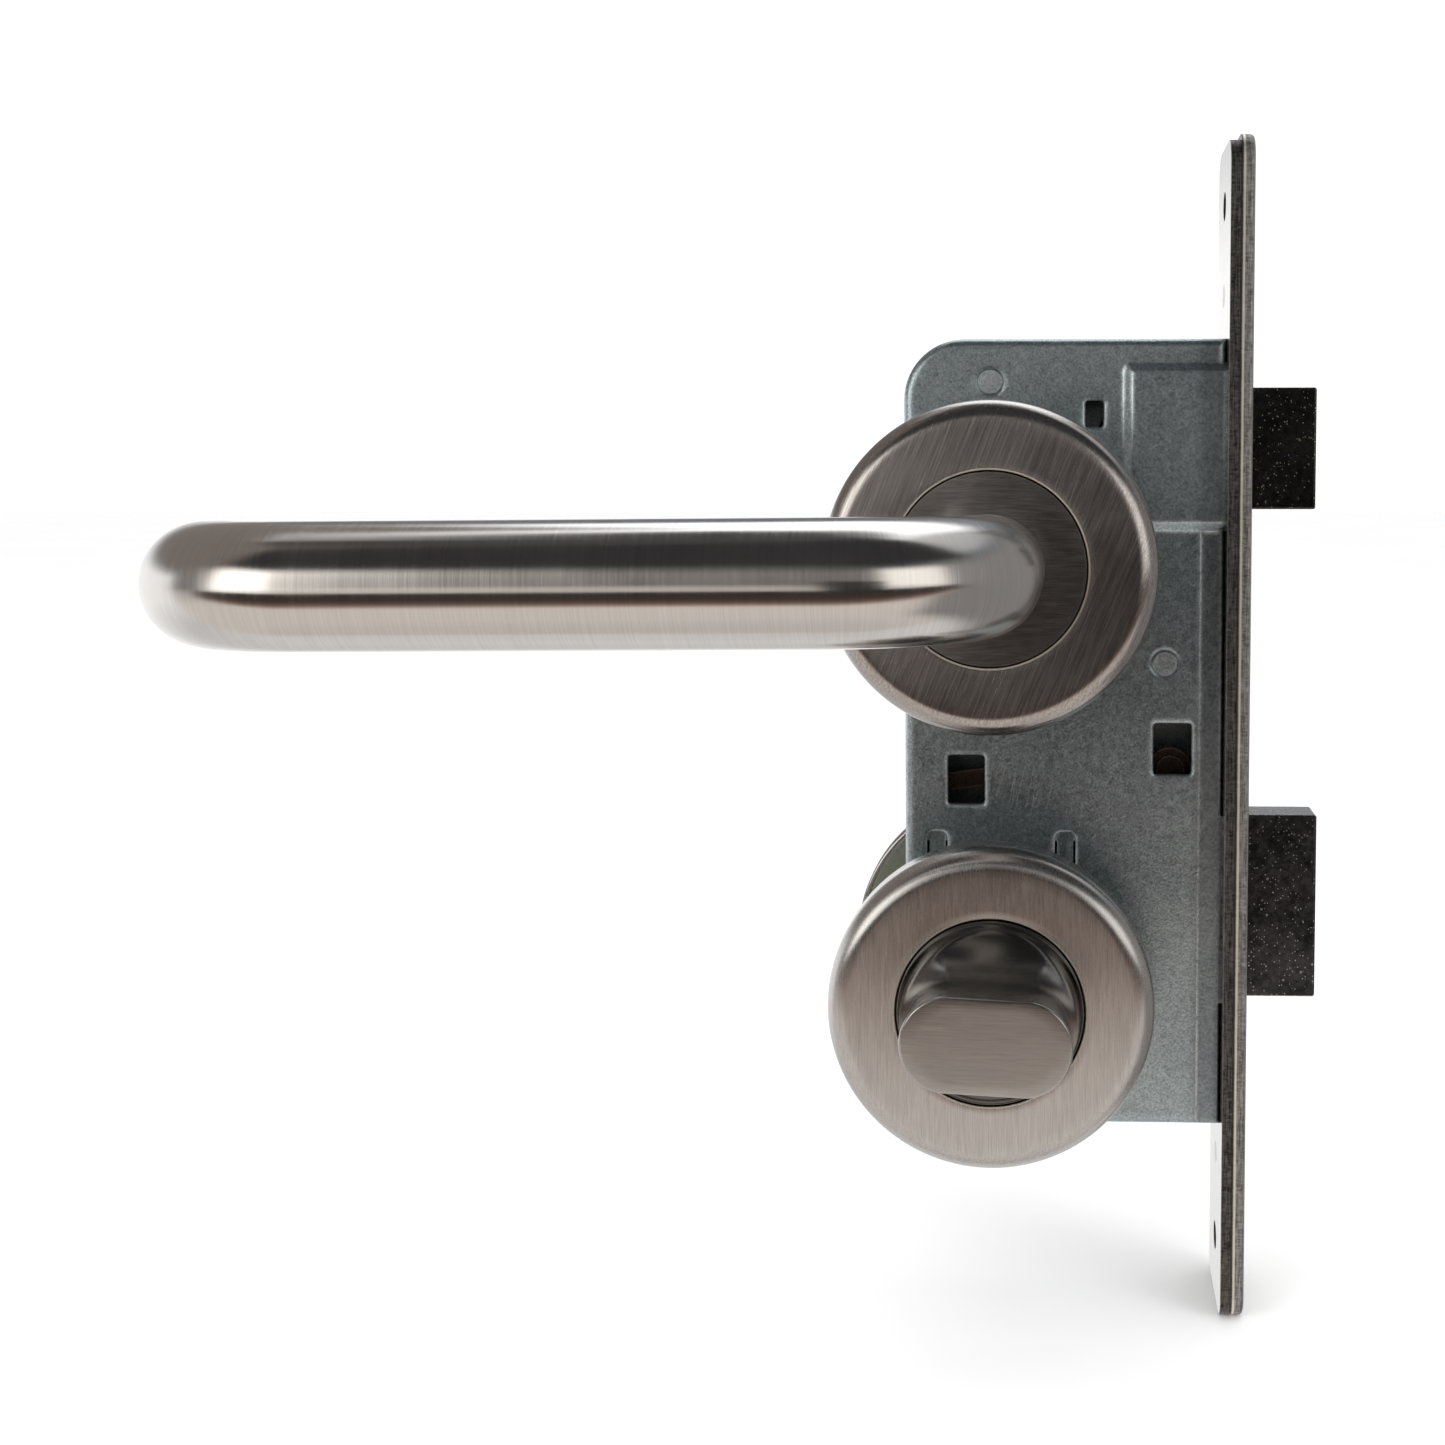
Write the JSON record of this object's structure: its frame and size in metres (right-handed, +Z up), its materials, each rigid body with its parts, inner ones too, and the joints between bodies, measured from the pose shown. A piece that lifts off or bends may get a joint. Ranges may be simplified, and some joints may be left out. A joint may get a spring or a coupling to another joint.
{
  "type": "bathroom mortise lock",
  "caption": "Mortise bathroom lock: pressed case with forend, latch and deadbolt, round roses, bent tube levers, thumbturn and coin-slot release.",
  "frame": {"origin": "middle of the forend's front face, half-way between the two door screws", "axes": "+X out of the door's edge, the way the bolts are thrown; +Z up along the forend; -Y towards the inside (bathroom) face of the door"},
  "size_m": [0.1698, 0.1678, 0.197],
  "materials": {
    "zinc_plated_sheet": "mottled zinc plate on pressed steel",
    "rivet_steel": "plain plated steel",
    "forend_steel": "sheared steel plate",
    "cover_stainless": "satin stainless steel",
    "screw_steel": "plated steel",
    "spring_wire": "bright spring wire",
    "blued_spring_steel": "blued spring steel",
    "follower_zinc": "zinc die casting",
    "latch_dark_steel": "dark burnished metal",
    "deadbolt_black_casting": "black speckled casting",
    "spindle_steel": "plated square bar",
    "lever_stainless": "satin stainless tube",
    "lever_hub_stainless": "satin stainless steel",
    "bush_plastic": "natural nylon",
    "lever_rose_stainless": "brushed stainless steel",
    "turn_rose_stainless": "brushed stainless steel",
    "turn_stainless": "brushed stainless steel",
    "rose_plate_casting": "greenish grey zinc casting"
  },
  "bodies": {
    "lock_case": {"case_tray": "zinc_plated_sheet", "case_cap": "zinc_plated_sheet", "case_pillars": "rivet_steel", "case_studs": "rivet_steel", "forend_rivets": "rivet_steel", "forend": "forend_steel", "cover_plate": "cover_stainless", "cover_screws": "screw_steel", "spring_stop": "zinc_plated_sheet", "latch_spring": "spring_wire", "follower_spring": "spring_wire", "detent_spring": "blued_spring_steel", "lever_rose_inside": "lever_rose_stainless", "lever_rose_plate_inside": "rose_plate_casting", "lever_bush_inside": "bush_plastic", "turn_rose_inside": "turn_rose_stainless", "turn_rose_plate_inside": "rose_plate_casting", "lever_rose_outside": "lever_rose_stainless", "lever_rose_plate_outside": "rose_plate_casting", "lever_bush_outside": "bush_plastic", "turn_rose_outside": "turn_rose_stainless", "turn_rose_plate_outside": "rose_plate_casting"},
    "lever_set": {"follower": "follower_zinc", "lever_spindle": "spindle_steel", "lever_tube_inside": "lever_stainless", "lever_hub_inside": "lever_hub_stainless", "lever_end_cap_inside": "lever_stainless", "lever_grub_screw_inside": "screw_steel", "lever_circlip_inside": "spring_wire", "lever_tube_outside": "lever_stainless", "lever_hub_outside": "lever_hub_stainless", "lever_end_cap_outside": "lever_stainless", "lever_grub_screw_outside": "screw_steel", "lever_circlip_outside": "spring_wire"},
    "latch": {"latch_head": "latch_dark_steel", "latch_tail": "rivet_steel"},
    "turn_set": {"turn_hub": "follower_zinc", "turn_spindle": "spindle_steel", "thumbturn": "turn_stainless", "emergency_release": "turn_stainless", "turn_circlip_inside": "spring_wire", "turn_circlip_outside": "spring_wire"},
    "deadbolt_group": {"deadbolt": "deadbolt_black_casting"}
  },
  "joints": [
    {"name": "lever_turn", "type": "hinge", "parent": "lock_case", "child": "lever_set", "pos_m": [-0.042, 0, 0.0292], "axis": [0, -1, 0], "range_deg": [0, 45], "stiffness_Nm_per_rad": 1.2, "springref_deg": -22.92, "deforming": ["follower_spring"]},
    {"name": "latch_slide", "type": "slide", "parent": "lock_case", "child": "latch", "axis": [-1, 0, 0], "range_m": [0, 0.0109], "stiffness_N_per_m": 250, "springref_m": -0.012, "deforming": ["latch_spring"]},
    {"name": "thumbturn_turn", "type": "hinge", "parent": "lock_case", "child": "turn_set", "pos_m": [-0.042, 0, -0.0408], "axis": [0, -1, 0], "range_deg": [0, 90]},
    {"name": "deadbolt_slide", "type": "slide", "parent": "lock_case", "child": "deadbolt_group", "axis": [-1, 0, 0], "range_m": [0, 0.0121], "deforming": ["detent_spring"]}
  ],
  "couplings": [
    {"joint": "latch_slide", "follows": "lever_turn", "m_per_rad": 0.013878},
    {"joint": "thumbturn_turn", "follows": "deadbolt_slide", "rad_per_m": 129.81}
  ]
}
